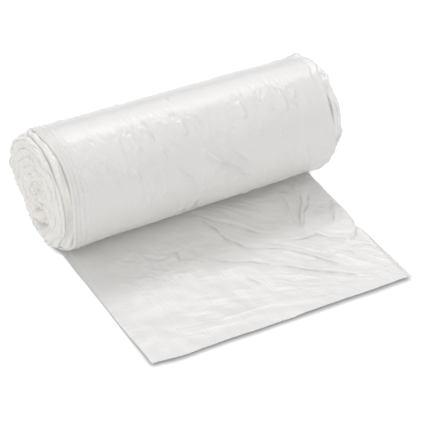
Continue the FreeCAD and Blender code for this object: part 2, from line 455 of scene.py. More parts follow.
class NodeTree:
    """The node tree of a material or a world, built up from nothing."""

    def __init__(self, owner: bpy.types.ID) -> None:
        """Empties the owner's tree.

        Args:
            owner: The material or the world.
        """
        owner.use_nodes = True
        self.nodes = owner.node_tree.nodes
        self.links = owner.node_tree.links
        self.nodes.clear()

    def add(self, kind: str, **values: object) -> bpy.types.Node:
        """Adds a node and sets its inputs.

        Args:
            kind: The node's type, less the words that all shader nodes start with.
            **values: The inputs' values by name, with a low line for each space.

        Returns:
            The node.
        """
        node = self.nodes.new(f"ShaderNode{kind}")
        for name, value in values.items():
            node.inputs[name.replace("_", " ")].default_value = value
        return node

    def join(self, start: bpy.types.NodeSocket, end: bpy.types.NodeSocket) -> None:
        """Leads an output into an input."""
        self.links.new(start, end)


@dataclass(frozen=True)
class FilmFinish:
    """White film in many plies: satin, a little translucent, with faint lines along its run.

    The colour drifts from the first tone to the tint, and turns to the painted fold shade in tight
    folds and grooves.
    """

    name: str
    colour: Triple = (0.825, 0.812, 0.795)
    tint: Triple = (0.845, 0.835, 0.818)
    painted_fold_shade: Triple = (0.42, 0.415, 0.41)
    roughness: float = 0.305
    gloss_drift: float = 0.02
    refraction: float = 1.5
    scatter: float = 0.1
    scatter_tone: Triple = (1.0, 1.0, 0.95)
    scatter_reach: float = 0.0015
    cloud_scale: float = 22.0
    cloud_share: Pair = (0.35, 0.65)
    line_scale: Pair = (80.0, 14.0)
    line_lean: float = 0.2
    line_depth: float = 0.00022

    def material(self) -> bpy.types.Material:
        """Builds the finish once and returns it.

        Returns:
            The material.
        """
        known = bpy.data.materials.get(self.name)
        if known:
            return known
        made = bpy.data.materials.new(self.name)
        tree = NodeTree(made)
        output = tree.add("OutputMaterial")
        shader = tree.add(
            "BsdfPrincipled",
            IOR=self.refraction,
            Subsurface_Weight=self.scatter,
            Subsurface_Radius=self.scatter_tone,
            Subsurface_Scale=self.scatter_reach,
        )
        tree.join(shader.outputs["BSDF"], output.inputs["Surface"])
        coordinates = tree.add("TexCoord")
        self._cloudy_colour(tree, coordinates, shader)
        self._run_lines(tree, coordinates, shader)
        return made

    def _cloudy_colour(
        self, tree: "NodeTree", coordinates: bpy.types.Node, shader: bpy.types.Node,
    ) -> None:
        """Lets the white drift between two near tones, darken with painted shade in folds, and the
        gloss drift.

        Args:
            tree: The material's tree.
            coordinates: Its texture coordinates.
            shader: The shader that gets the colour and the roughness.
        """
        cloud = tree.add("TexNoise", Scale=self.cloud_scale, Detail=3.0)
        tree.join(coordinates.outputs["Object"], cloud.inputs["Vector"])
        ramp = tree.add("ValToRGB")
        tones = zip(ramp.color_ramp.elements, self.cloud_share, (self.colour, self.tint))
        for element, share, tone in tones:
            element.position = share
            element.color = (*tone, 1.0)
        tree.join(cloud.outputs["Fac"], ramp.inputs["Fac"])
        # The fold attribute mixes the painted fold shade into the colour.
        fold = tree.add("Attribute")
        fold.attribute_name = PAINTED_SHADE_ATTRIBUTE
        painted_shade_mix = tree.add("Mix")
        painted_shade_mix.data_type = "RGBA"
        plain, folded = [socket for socket in painted_shade_mix.inputs if socket.type == "RGBA"]
        folded.default_value = (*self.painted_fold_shade, 1.0)
        tree.join(fold.outputs["Fac"], painted_shade_mix.inputs["Factor"])
        tree.join(ramp.outputs["Color"], plain)
        mixed = [socket for socket in painted_shade_mix.outputs if socket.type == "RGBA"][0]
        tree.join(mixed, shader.inputs["Base Color"])
        gloss = tree.add(
            "MapRange",
            To_Min=self.roughness - self.gloss_drift,
            To_Max=self.roughness + self.gloss_drift,
        )
        tree.join(cloud.outputs["Fac"], gloss.inputs["Value"])
        tree.join(gloss.outputs["Result"], shader.inputs["Roughness"])

    def _run_lines(
        self, tree: "NodeTree", coordinates: bpy.types.Node, shader: bpy.types.Node,
    ) -> None:
        """Presses fine crinkles into the film, longer along its run than across it.

        Args:
            tree: The material's tree.
            coordinates: Its texture coordinates.
            shader: The shader that gets the relief.
        """
        lean = (0.0, 0.0, self.line_lean)
        stretch = tree.add("Mapping", Scale=(*self.line_scale, 1.0), Rotation=lean)
        tree.join(coordinates.outputs["UV"], stretch.inputs["Vector"])
        grain = tree.add("TexNoise", Scale=1.0, Detail=4.0, Distortion=0.6)
        tree.join(stretch.outputs["Vector"], grain.inputs["Vector"])
        relief = tree.add("Bump", Strength=0.6, Distance=self.line_depth)
        tree.join(grain.outputs["Fac"], relief.inputs["Height"])
        tree.join(relief.outputs["Normal"], shader.inputs["Normal"])


# The last turn

@dataclass
class LastTurn:
    """The film's last turn: a tapered round with an open mouth at each end, flat on the tongue.

    Lengths are in millimetres. An arc is its middle and half its width in degrees, and a ridge is
    its height, its distance in from the rim and its half width. A crease's points are places along
    X and lengths round the roll.
    """

    sizes: RollSizes
    film: FilmFinish
    columns: int = 236
    rows: int = 400
    close_middle: float = 205.0
    close_pull: float = 0.4
    lap_run: float = 12.0
    lap_angle: float = 0.5
    leave_angle: float = 1.6
    rim: float = 0.22
    floor_radius: float = 14.0
    wave: float = 0.20
    crinkle: float = 0.28
    dent: float = 0.30
    soft: float = 0.20
    strewn_change: float = -14.0
    top_calm: float = 0.72
    top_arc: Pair = (173.0, 22.0)
    corner_height: float = 1.3
    corner_arc: Pair = (153.0, 6.0)
    pushed_out: float = 2.0
    pushed_arc: Pair = (166.0, 24.0)
    drawn_in: float = 4.6
    drawn_arc: Pair = (317.0, 28.0)
    fade_width: float = 14.0
    left_ridges: tuple[Triple, ...] = (
        (0.6, 0.7, 0.8),
        (-0.3, 1.8, 0.5),
        (0.6, 2.8, 0.8),
        (-0.45, 4.0, 0.6),
        (0.5, 5.2, 0.8),
        (-0.35, 6.6, 0.7),
        (0.35, 8.0, 0.9),
    )
    right_ridges: tuple[Triple, ...] = ((0.3, 0.9, 0.9), (-0.25, 3.4, 1.3))
    creases: tuple[Crease, ...] = (
        Crease(((-2.7, 92.0), (-4.8, 105.0)), 0.4, 1.0, 0.1),
        Crease(((-26.0, 113.5), (-24.4, 119.0), (-23.4, 127.5)), 1.2, 0.7, 0.4),
        Crease(((-34.3, 119.6), (-33.4, 124.0), (-31.9, 130.0)), 1.2, 0.7, 0.4),
        Crease(((-4.9, 119.5), (-4.2, 129.0)), 1.1, 0.7, 0.4),
        Crease(((0.8, 138.5), (6.0, 144.0), (13.6, 152.5)), 1.7, 0.9, 0.6),
        Crease(((-16.0, 145.5), (-10.7, 150.0), (-7.5, 154.5)), 1.4, 0.9, 0.5),
        Crease(((-20.9, 131.0), (-20.1, 139.0)), 0.8, 0.7, 0.3),
        Crease(((-38.7, 139.0), (-37.2, 146.0)), 0.8, 0.7, 0.3),
        Crease(((31.0, 118.5), (31.4, 123.0), (31.0, 129.5)), 1.0, 0.7, 0.4),
        Crease(((55.4, 120.0), (56.0, 126.0), (54.9, 132.0)), 0.9, 0.7, 0.35),
        Crease(((63.3, 120.5), (62.1, 126.5)), 0.7, 0.7, 0.3),
        Crease(((1.0, 141.5), (9.2, 148.0), (22.8, 158.5), (27.0, 161.0)), 1.9, 0.9, 0.7),
        Crease(((11.8, 141.0), (19.0, 147.0), (25.5, 152.5)), 1.4, 0.9, 0.5),
    )

    def build(self) -> bpy.types.Object:
        """Makes the turn's mesh.

        Returns:
            The piece.
        """
        across, inset = self._section()
        # The columns stand closer round the front, where the creases are.
        turn = np.linspace(0.0, TAU, self.columns, endpoint=False)
        front = math.radians(self.close_middle)
        angle = turn - self.close_pull * (np.sin(turn - front) + math.sin(front))
        across_grid, angle_grid = np.meshgrid(across, angle, indexing="ij")
        inset_grid = np.repeat(inset[:, None], self.columns, axis=1)
        run = self.sizes.radius_left * angle_grid
        relief = np.where(inset_grid == 0.0, self._relief(across_grid, angle_grid, run), 0.0)
        shifted = across_grid + self._edge_wave(across_grid, angle_grid)
        points = self._place(shifted, angle_grid, relief - inset_grid)
        points, faces = closed_round(points, len(across), self.columns, turned=False)
        places = (across_grid, run)
        return film_object("last_turn", points, faces, self.film, places, np.zeros_like(run))

    def _section(self) -> tuple[Array, Array]:
        """The line that is carried round: from the left mouth's floor out, along and back in.

        Returns:
            Each point's place along X, and how far it lies inside the round.
        """
        sizes = self.sizes
        depth, web, rim = sizes.mouth_depth, sizes.web, self.rim
        floor = sizes.radius_left - self.floor_radius
        left, right = -sizes.half_width, sizes.wrap_right
        mouth_in = np.array([depth, depth, 0.5 * depth, rim, 0.0, 0.0, rim])
        mouth_inset = np.array([floor, web, web, web, web - rim, rim, 0.0])
        outside = np.linspace(left + 2.0 * rim, right - 2.0 * rim, self.rows)
        across = np.concatenate([left + mouth_in, outside, right - mouth_in[::-1]])
        inset = np.concatenate([mouth_inset, np.zeros(self.rows), mouth_inset[::-1]])
        return across, inset

    def _relief(self, across: Array, angle: Array, run: Array) -> Array:
        """The film's relief on the round: rim lines, soft dents, fine crinkles and sharp creases.

        Args:
            across: Places along X.
            angle: Angles round the roll.
            run: Lengths round the roll.

        Returns:
            Heights above the plain round.
        """
        turns = angle / TAU
        waves = Crumple(12).smooth(24 * turns, across / 2.4 + 0.8 * np.sin(TAU * turns * 3.0), 24)
        crests = Crumple(13).crests(30 * turns, across / 3.1 + 2.0 * np.cos(TAU * turns), 2.5, 30)
        patch = smooth_step(-0.15, 0.45, Crumple(14).smooth(7 * turns, across / 22.0, 7))
        dents = Crumple(15).smooth(9 * turns, across / 19.0, 9)
        soft = Crumple(16).smooth(16 * turns, across / 8.0, 16)
        relief = self.wave * waves * (0.35 + patch) + self.crinkle * crests * (0.2 + patch)
        relief = relief + self.dent * dents + self.soft * soft
        relief = relief + local_relief(self._strewn(), across, run)
        # The film is drawn smooth over the top.
        relief = relief * (1.0 - self.top_calm * arc_window(angle, *self.top_arc))
        return relief + self._rim_lines(across, angle) + local_relief(self.creases, across, run)

    def _strewn(self) -> list[Crease]:
        """The short creases: everywhere, and closer on the front at the right and at the left.

        Returns:
            The creases.
        """
        left, right = -self.sizes.half_width, self.sizes.wrap_right
        everywhere = scattered_creases(
            seed=21, count=150, u_range=(left + 6.0, right - 4.0), v_range=(0.0, 212.0),
            length=(5.0, 13.0), lean=0.4, height=0.55, half_width=0.55, tilt=0.15,
        )
        at_right = scattered_creases(
            seed=23, count=60, u_range=(self.strewn_change, right - 5.0), v_range=(112.0, 142.0),
            length=(4.0, 9.0), lean=0.3, height=0.65, half_width=0.5, tilt=0.2,
        )
        at_left = scattered_creases(
            seed=22, count=90, u_range=(left + 5.0, self.strewn_change), v_range=(108.0, 146.0),
            length=(5.0, 11.0), lean=0.25, height=0.75, half_width=0.5, tilt=0.35,
        )
        return everywhere + at_right + at_left

    def _rim_lines(self, across: Array, angle: Array) -> Array:
        """The edges of the folded plies by each rim: low ridges that follow the edge.

        Args:
            across: Places along X.
            angle: Angles round the roll.

        Returns:
            Heights above the plain round.
        """
        drift = Crumple(17).smooth(5 * angle / TAU, np.full_like(angle, 0.5), 5)
        left = across + self.sizes.half_width + 0.5 * drift
        right = self.sizes.wrap_right - across + 0.6 * drift
        fade = smooth_step(-0.6, 0.5, Crumple(18).smooth(8 * angle / TAU, across / 40.0, 8))
        lines = ridges(self.left_ridges, left) * (0.5 + 0.5 * fade) + ridges(self.right_ridges, right)
        corner = arc_window(angle, *self.corner_arc) * smooth_step(9.0, 0.5, right)
        return lines + self.corner_height * corner

    def _edge_wave(self, across: Array, angle: Array) -> Array:
        """Shifts the rims along X in slow waves, and draws the right one in where the web leaves.

        Each rim's wave is a cosine of a few periods a turn, and fades out over the fade width.

        Args:
            across: Places along X.
            angle: Angles round the roll.

        Returns:
            The shift along X at each place.
        """
        left, right = -self.sizes.half_width, self.sizes.wrap_right
        ripple = 0.3 * Crumple(19).smooth(14 * angle / TAU, across / 20.0, 14)
        left_wave = -1.1 + 1.1 * np.cos(4.0 * (angle - math.radians(222.0)))
        right_wave = 1.3 * np.cos(3.0 * (angle - math.radians(190.0)))
        right_wave = right_wave + self.pushed_out * arc_window(angle, *self.pushed_arc)
        right_wave = right_wave - self.drawn_in * arc_window(angle, *self.drawn_arc)
        near_left = 1.0 - smooth_step(left, left + self.fade_width, across)
        near_right = smooth_step(right - self.fade_width, right, across)
        return (left_wave + ripple) * near_left + (right_wave + ripple) * near_right

    def _place(self, across: Array, angle: Array, lift: Array) -> Array:
        """Puts the grid round the axis: radius times sine and cosine, kept above the tongue.

        The radius is a web less over the tongue, and grows to the whole over the lap's angle.

        Args:
            across: Places along X.
            angle: Angles round the roll.
            lift: Heights above the plain round.

        Returns:
            The points of the grid.
        """
        sizes = self.sizes
        start = smooth_step(0.0, self.lap_angle, angle)
        finish = smooth_step(TAU - self.leave_angle, TAU, angle)
        radius = sizes.radius(across) - sizes.web * (1.0 - start + finish) + lift
        depth = radius * np.sin(angle)
        height = sizes.axis_height(across) - radius * np.cos(angle)
        # The floor is the web's top in front of the axis, and the web thins out behind it.
        floor = 0.98 * sizes.web * (1.0 - smooth_step(0.0, self.lap_run, depth)) + 0.02
        height = np.maximum(height, np.where(np.cos(angle) > 0.0, floor, height))
        return np.stack([across, depth, height], axis=-1).reshape(-1, 3)


# The tongue

@dataclass
class Tongue:
    """The unrolled end of the first bag: flat on the floor, creased, its free edge a little up.

    Lengths are in millimetres, and a crease's points are places along X and Y. The values from
    streak to dent are the greatest heights of the kinds of relief.
    """

    sizes: RollSizes
    film: FilmFinish
    columns: int = 320
    rows: int = 295
    overhang: float = 2.0
    loose_from: float = -60.0
    lift: float = 1.2
    lift_run: float = 38.0
    back: float = 17.0
    tuck: float = 1.3
    side_tuck: float = 0.78
    close_pull: float = 0.055
    ply_step: float = 0.34
    # The grooves' painted shade: its greatest share, and the depth at which a groove gets all of it.
    groove_shade: float = 0.6
    full_groove: float = 0.8
    groove_limit: float = 0.6
    lean: float = 1.0
    streak: float = 0.22
    fine_streak: float = 0.09
    ripple: float = 0.09
    swell: float = 0.45
    dimple: float = 0.25
    facet: float = 0.55
    dent: float = 0.35
    creases: tuple[Crease, ...] = (
        Crease(
            ((2.3, -20.5), (5.6, -36.2), (6.0, -44.0), (9.2, -49.5), (11.5, -55.9), (16.9, -58.7)),
            -0.9, 0.55, 0.6,
        ),
        Crease(
            ((14.9, -57.7), (27.7, -65.5), (38.3, -77.0), (44.6, -86.2), (49.8, -91.9)),
            -0.8, 0.6, 0.45,
        ),
        Crease(
            ((1.4, -15.5), (9.0, -28.0), (17.4, -37.4), (21.4, -44.9), (26.1, -50.5)),
            -0.7, 0.9, 0.45,
        ),
        Crease(
            ((-9.7, -51.8), (-5.8, -58.8), (-0.2, -63.2), (8.7, -67.9), (16.5, -74.6)),
            -0.8, 0.6, 0.4,
        ),
        Crease(
            ((14.5, -73.0), (23.1, -79.4), (32.0, -88.4), (40.0, -94.5), (53.4, -104.7)),
            -0.7, 0.6, 0.4,
        ),
        Crease(((27.2, -55.5), (34.0, -62.9), (41.9, -70.9), (48.7, -79.5)), 0.8, 1.0, 0.35),
        Crease(((18.2, -62.0), (27.7, -65.8), (32.7, -73.4), (40.3, -81.9)), 0.7, 0.9, 0.35),
        Crease(
            ((32.1, -60.7), (42.2, -63.6), (51.0, -63.3), (56.5, -70.0), (63.2, -74.8)),
            -0.7, 0.8, 0.35,
        ),
        Crease(((63.2, -76.0), (68.0, -73.8), (73.2, -66.2)), 0.8, 1.2, 0.35),
        Crease(((60.8, -18.2), (59.2, -26.6), (57.7, -34.9), (48.4, -49.2)), 1.3, 1.5, 0.8, 1.4),
        Crease(((52.0, -22.0), (50.4, -29.7), (43.9, -46.8)), 1.2, 1.4, 0.6, 1.4),
        Crease(((60.3, -38.8), (53.9, -44.5), (46.6, -55.9)), -0.35, 0.8, 0.4),
        Crease(((50.4, -30.1), (47.6, -40.0), (46.2, -49.3)), -0.5, 0.8, 0.4),
        Crease(((61.3, -24.5), (57.6, -35.3), (51.0, -44.4), (45.8, -54.6)), -0.7, 0.8, 0.6),
        Crease(((64.8, -30.2), (58.8, -38.9), (53.0, -45.4)), -0.5, 0.8, 0.4),
        Crease(((72.8, -39.6), (68.4, -51.2), (64.5, -57.9)), -0.35, 0.9, 0.4),
        Crease(((-22.3, -39.7), (-24.3, -50.7)), -0.5, 0.8, 0.3),
        Crease(((70.6, -44.4), (67.0, -52.0), (64.5, -60.4)), 0.9, 1.1, 0.4),
        Crease(((60.0, -82.4), (66.0, -84.0), (71.1, -85.4)), 0.5, 1.0, 0.2),
        Crease(((50.9, -82.3), (55.0, -86.4), (59.2, -88.2)), 0.5, 1.0, 0.2),
        Crease(((-41.6, -80.6), (-26.0, -86.4), (-10.6, -90.2), (8.0, -97.0)), 0.1, 1.8, 0.05, 2.0),
        Crease(((-50.6, -86.4), (-28.9, -94.6), (-12.6, -93.8)), 0.1, 1.8, 0.05, 2.0),
        Crease(((-38.5, -105.7), (-21.0, -109.3), (-6.0, -108.4)), 0.2, 1.1, 0.1),
        Crease(
            ((-29.2, -102.8), (-14.6, -103.6), (-3.4, -103.7), (5.2, -105.9), (18.5, -111.9)),
            0.28, 1.2, 0.12,
        ),
        Crease(((-0.5, -77.7), (4.6, -86.5)), -0.6, 0.6, 0.15),
        Crease(((-25.4, -39.0), (-26.4, -44.0), (-25.8, -51.5)), 0.5, 0.8, 0.25),
        Crease(((-40.9, -31.3), (-44.5, -44.2)), 0.45, 1.2, 0.25),
    )

    def build(self) -> bpy.types.Object:
        """Makes the tongue's mesh: the creased top, a plain underside and the edge between them.

        Returns:
            The piece.
        """
        reach = self.sizes.tongue_reach
        # The columns stand closer on the creased right half.
        share = np.linspace(0.0, 1.0, self.columns)
        share = share + self.close_pull * np.sin(math.pi * share) * (1.0 + 0.3 * share)
        lengthwise = np.linspace(self.back, -reach - self.overhang, self.rows)
        share_grid, length_grid = np.meshgrid(share, lengthwise, indexing="xy")
        left, right = self._edges(length_grid)
        across = left + (right - left) * share_grid
        loose = smooth_step(self.loose_from, -117.0, length_grid)
        length = length_grid + self._front_wave(across) * loose
        base = self._base(length)
        top = base + self.sizes.web * self._lap(length) + self._relief(across, length, left, right)
        top_points = np.stack([across, *self._rolled(across, length, top)], axis=-1)
        # The lower plies end a little behind the top one.
        tucked = length + self.tuck * smooth_step(self.loose_from, -reach, length_grid)
        side_tuck = self.side_tuck * np.where(share_grid < 0.5, 1.0, -1.0)
        under_points = np.stack([across + side_tuck, *self._rolled(across, tucked, base)], axis=-1)
        piece = self._mesh(top_points, under_points, across, length)
        return piece

    def _edges(self, length: Array) -> tuple[Array, Array]:
        """The web's left and right edges: nearly straight, with the nick that a crease pulls in.

        Args:
            length: Places along Y, in millimetres.

        Returns:
            The two edges' places along X, in millimetres.
        """
        half = self.sizes.half_width
        wave = Crumple(31)
        left = -half + 0.35 * wave.smooth(length / 23.0, np.full_like(length, 0.3))
        right = half - 1.8 + 0.3 * wave.smooth(length / 19.0, np.full_like(length, 7.7))
        wider = smooth_step(self.loose_from, -104.0, length)
        right = right - 1.9 * bump(-66.0, 5.5, length) + 1.3 * wider
        return left, right

    def _front_wave(self, across: Array) -> Array:
        """The free edge's small ins and outs, with its left corner drawn back a little."""
        corner = smooth_step(16.0 - self.sizes.half_width, -self.sizes.half_width, across)
        return 0.45 * Crumple(32).smooth(across / 21.0, np.full_like(across, 2.4)) + 1.6 * corner

    def _shade(self, across: Array, length: Array) -> Array:
        """The painted shade in the grooves, which are the creases that go down.

        It is the groove's share of a full one, narrower and rounder, broken up by noise.

        Args:
            across: Places along X, in millimetres.
            length: Places along Y, in millimetres.

        Returns:
            The shade, from 0 to the greatest shade of a groove.
        """
        grooves = [
            replace(
                crease,
                height=-crease.height / self.full_groove,
                half_width=0.75 * crease.half_width,
                step=0.0,
                roundness=2.0,
            )
            for crease in self.creases
            if crease.height < 0.0
        ]
        broken = 0.6 + 0.6 * Crumple(42).smooth(across / 6.0, length / 6.0)
        return self.groove_shade * np.clip(broken * local_relief(grooves, across, length), 0.0, 1.0)

    def _base(self, length: Array) -> Array:
        """The underside's height: flat, then an arc that rises to the free edge.

        The arc's height is its radius less the root of radius^2 - run^2.

        Args:
            length: Places along Y, in millimetres.

        Returns:
            The heights, in millimetres.
        """
        run = np.clip(-length - (self.sizes.tongue_reach - self.lift_run), 0.0, None)
        radius = (self.lift_run**2 + self.lift**2) / (2.0 * self.lift)
        return radius - np.sqrt(radius**2 - run**2)

    def _lap(self, length: Array) -> Array:
        """The web's thickness as a share of the whole: it thins to nothing under the back."""
        return 1.0 - 0.97 * smooth_step(0.5, self.back, length)

    def _rolled(self, across: Array, length: Array, height: Array) -> tuple[Array, Array]:
        """Bends the part behind the flat spot up round the roll's back, at the roll's radius.

        Args:
            across: Places along X.
            length: Places along the web, with 0 under the axis.
            height: Heights over the underside's floor.

        Returns:
            Places along Y and Z.
        """
        radius = self.sizes.radius(across)
        axis = self.sizes.axis_height(across)
        angle = np.clip(length, 0.0, None) / radius
        inner = radius - height
        depth = np.where(length > 0.0, inner * np.sin(angle), length)
        round_height = np.maximum(axis - inner * np.cos(angle), height)
        return depth, np.where(length > 0.0, round_height, height)

    def _relief(self, across: Array, length: Array, left: Array, right: Array) -> Array:
        """The top's relief: ply edges, broad swells, crinkles along the creases and the creases.

        Args:
            across: Places along X, in millimetres.
            length: Places along Y, in millimetres.
            left: The left edge's place at each point.
            right: The right edge's place at each point.

        Returns:
            Heights over the plain top, in millimetres.
        """
        ripples = Crumple(35).crests(across / 24.0, (length + 0.24 * across) / 3.3, 2.0)
        ripple_patch = smooth_step(-0.2, 0.5, Crumple(36).smooth(across / 30.0, length / 18.0))
        relief = self._streaks(across, length) + self.ripple * ripples * ripple_patch
        relief = relief + self.swell * Crumple(37).smooth(across / 30.0, length / 22.0)
        relief = relief + self.dimple * Crumple(38).smooth(across / 7.5, length / 9.0)
        # The film is crumpled where the roll's shadow ends.
        crumpled = bump(-46.0, 24.0, length) * bump(-30.0, 46.0, across)
        facets = Crumple(43).crests(across / 8.0, (length + 0.5 * across) / 7.0, 2.2)
        dents = Crumple(44).smooth(across / 4.5, length / 4.0)
        relief = relief + crumpled * (self.facet * facets + self.dent * dents)
        relief = relief + local_relief(self.creases, across, length)
        strewn = scattered_creases(
            seed=41, count=70, u_range=(-114.0, -8.0), v_range=(-70.0, 72.0),
            length=(5.0, 14.0), lean=0.5, height=0.16, half_width=0.7,
        )
        relief = relief + local_relief(strewn, length, across)
        # Under the roll the web is pressed plain.
        relief = np.maximum(relief * smooth_step(-4.0, -16.0, length), -self.groove_limit)
        step = self._ply_step(across - left, right - across, length)
        return relief + step * smooth_step(2.0, -6.0, length)

    def _streaks(self, across: Array, length: Array) -> Array:
        """Crinkles that run down to the right, as the creases of the right half do.

        Args:
            across: Places along X, in millimetres.
            length: Places along Y, in millimetres.

        Returns:
            Their relief, in millimetres.
        """
        slant = math.hypot(1.0, self.lean)
        along = (across - self.lean * length) / slant
        over = (length + self.lean * across) / slant
        right_half = smooth_step(-22.0, 20.0, across + 0.35 * (length + 60.0))
        calm = smooth_step(-118.0, -96.0, length) * 0.6 + 0.4
        bend = 3.0 * Crumple(39).smooth(across / 26.0, length / 26.0)
        long_ones = Crumple(33).crests(along / 19.0, (over + bend) / 6.5, 3.0)
        fine_ones = Crumple(34).crests(along / 8.0, (over + bend) / 2.6, 2.0)
        relief = self.streak * long_ones * right_half * calm
        return relief + self.fine_streak * fine_ones * (0.25 + 0.75 * right_half)

    def _ply_step(self, near_left: Array, near_right: Array, length: Array) -> Array:
        """The step down from the top ply to the next one by the side edges.

        Args:
            near_left: Distances from the left edge, in millimetres.
            near_right: Distances from the right edge, in millimetres.
            length: Places along Y, in millimetres.

        Returns:
            The step's height, nothing or less, in millimetres.
        """
        inset = 3.4 * (1.0 - smooth_step(-20.0, -98.0, length)) + 0.1
        inset_right = 0.2 + 1.5 * smooth_step(-66.0, -104.0, length)
        at_left = 1.0 - smooth_step(inset - 0.45, inset + 0.25, near_left)
        at_right = 1.0 - smooth_step(inset_right - 0.4, inset_right + 0.2, near_right)
        return -self.ply_step * (at_left + at_right)

    def _mesh(self, top: Array, under: Array, across: Array, length: Array) -> bpy.types.Object:
        """Stitches the top to an underside of one strip a row, with the front and back edges.

        Args:
            top: The top's points, row by row.
            under: The underside's points, of which only the rim is used.
            across: Places along X, in millimetres.
            length: Places along Y, in millimetres.

        Returns:
            The piece.
        """
        rows, columns = across.shape
        faces = grid_faces(rows, columns, closed=False)[:, ::-1].tolist()
        rim = np.concatenate([
            np.arange(columns),
            np.arange(1, rows) * columns + columns - 1,
            (rows - 1) * columns + np.arange(columns - 2, -1, -1),
            np.arange(rows - 2, 0, -1) * columns,
        ])
        lower = rows * columns + np.arange(len(rim))
        following = np.roll(np.arange(len(rim)), -1)
        walls = np.stack([rim, rim[following], lower[following], lower], axis=1)
        faces += walls.tolist()
        right = lower[columns - 1:columns - 1 + rows]
        left = np.concatenate([lower[:1], lower[2 * columns + rows - 3:][::-1]])
        strips = np.stack([right[1:-2], right[2:-1], left[2:-1], left[1:-2]], axis=1)
        faces += strips.tolist()
        back_row = lower[:columns]
        front_row = lower[columns + rows - 2:2 * columns + rows - 2]
        faces.append(np.concatenate([back_row, right[1:2], left[1:2]]).tolist())
        faces.append(np.concatenate([right[-2:-1], front_row, left[-2:-1]]).tolist())
        points = np.vstack([top.reshape(-1, 3), under.reshape(-1, 3)[rim]])
        places = tuple(np.append(place, place.ravel()[rim]) for place in (across, length))
        return film_object("tongue", points, faces, self.film, places, self._shade(across, length))


# The turns at the roll's ends

